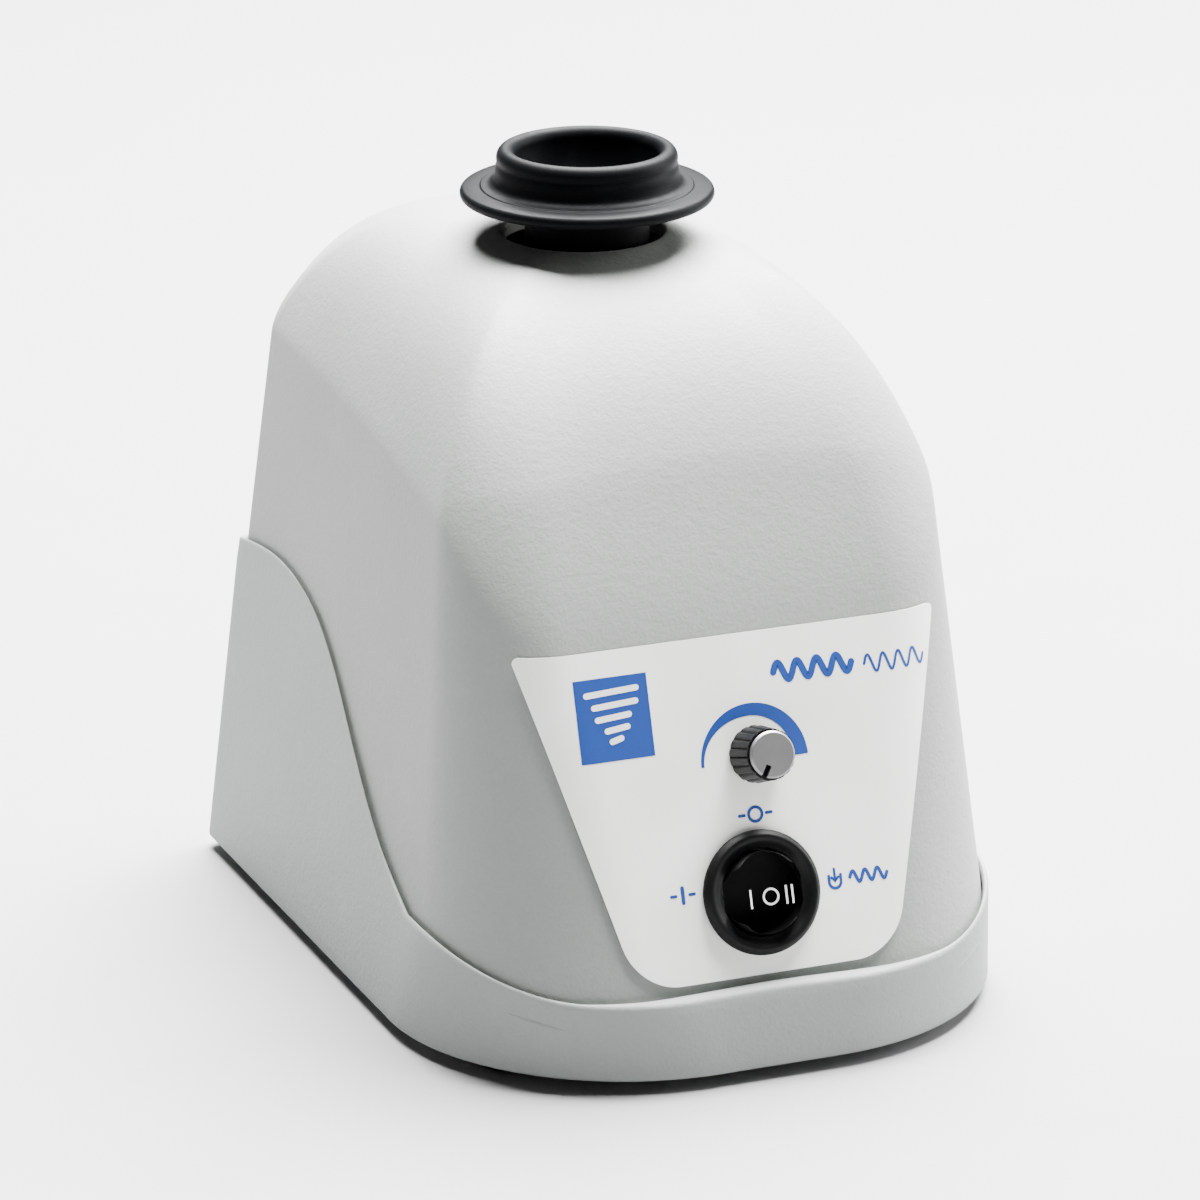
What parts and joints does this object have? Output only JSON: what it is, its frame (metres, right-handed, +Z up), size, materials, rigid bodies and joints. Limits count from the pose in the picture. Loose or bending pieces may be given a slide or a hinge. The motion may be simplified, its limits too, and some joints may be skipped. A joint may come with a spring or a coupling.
{
  "type": "vortex mixer",
  "caption": "Benchtop vortex mixer with a domed plastic housing, orbiting rubber cup, speed knob and three-position rocker switch on a leaning front panel.",
  "frame": {"origin": "centre of the bounding box on the surface the feet stand on", "axes": "+Z up, -Y towards the front panel, +X to the right seen from the front"},
  "size_m": [0.1298, 0.1729, 0.1685],
  "materials": {
    "cover_plastic": "fine moulded texture, pale warm grey",
    "tray_plastic": "fine moulded texture, pale warm grey",
    "label_film": "printed film, satin",
    "black_plastic": "satin black",
    "rubber": "moulded black rubber",
    "aluminium": "satin",
    "steel": "zinc plated",
    "cast_iron": "as cast",
    "brass": "machined",
    "board_green": "solder mask",
    "transformer_wrap": "tape wrap"
  },
  "bodies": {
    "root": {"top_cover": "cover_plastic", "base_tray": "tray_plastic", "housing_screw_1": "steel", "housing_screw_2": "steel", "housing_screw_3": "steel", "housing_screw_4": "steel", "foot_rear_left": "rubber", "foot_rear_right": "rubber", "foot_front_left": "rubber", "foot_front_right": "rubber", "base_weight": "cast_iron", "guide_pin_1": "steel", "guide_pin_2": "steel", "guide_pin_3": "steel", "guide_pin_4": "steel", "carriage_spring_1": "steel", "carriage_spring_2": "steel", "carriage_spring_3": "steel", "carriage_spring_4": "steel", "touch_bracket": "steel", "touch_switch": "black_plastic", "front_label": "label_film", "speed_pot": "steel", "pot_nut": "brass", "control_board": "board_green", "board_transformer": "transformer_wrap", "board_capacitor": "aluminium", "triac_heat_sink": "aluminium", "terminal_block": "black_plastic", "switch_bezel": "black_plastic", "switch_body": "black_plastic", "switch_terminal_1": "brass", "switch_terminal_2": "brass", "switch_terminal_3": "brass", "inlet_housing": "black_plastic", "inlet_pin_line": "brass", "inlet_pin_neutral": "brass", "inlet_pin_earth": "brass", "inlet_screw_1": "steel", "inlet_screw_2": "steel", "rating_plate": "aluminium"},
    "carriage": {"motor_carriage": "steel", "motor_can": "steel", "motor_end_bell": "aluminium", "motor_screw_1": "steel", "motor_screw_2": "steel", "drive_gaiter": "rubber"},
    "rotor": {"motor_shaft": "steel", "crank_hub": "steel", "counterweight": "brass"},
    "head": {"cup_bearing": "steel", "cup_holder": "aluminium", "splash_guard": "black_plastic", "rubber_cup": "rubber"},
    "knob": {"speed_knob": "black_plastic", "knob_cap": "aluminium", "pot_shaft": "steel"},
    "rocker": {"power_rocker": "black_plastic"},
    "lever": {"touch_lever": "steel"}
  },
  "joints": [
    {"name": "touch_press", "type": "slide", "parent": "root", "child": "carriage", "axis": [0, 0, 1], "range_m": [-0.002, 0], "stiffness_N_per_m": 8000, "springref_m": 0.003, "deforming": ["carriage_spring_1", "carriage_spring_2", "carriage_spring_3", "carriage_spring_4"]},
    {"name": "motor_spin", "type": "hinge", "parent": "carriage", "child": "rotor", "pos_m": [0, 0.0188, 0.1], "axis": [0, 0, 1], "continuous": true},
    {"name": "cup_counter_spin", "type": "hinge", "parent": "rotor", "child": "head", "pos_m": [0, 0.01655, 0.12], "axis": [0, 0, 1], "continuous": true},
    {"name": "speed_turn", "type": "hinge", "parent": "root", "child": "knob", "pos_m": [0.0024, -0.06588, 0.06213], "axis": [0, 0.9513, -0.3082], "range_deg": [0, 270]},
    {"name": "power_rock", "type": "hinge", "parent": "root", "child": "rocker", "pos_m": [0, -0.07385, 0.0356], "axis": [0, 0.3082, 0.9513], "range_deg": [-9, 9]},
    {"name": "touch_lever_swing", "type": "hinge", "parent": "root", "child": "lever", "pos_m": [-0.007, -0.0052, 0.0314], "axis": [0, 1, 0], "range_deg": [0, 7.2]}
  ],
  "couplings": [
    {"joint": "cup_counter_spin", "follows": "motor_spin", "ratio": -1},
    {"joint": "touch_lever_swing", "follows": "touch_press", "rad_per_m": -62.5}
  ]
}
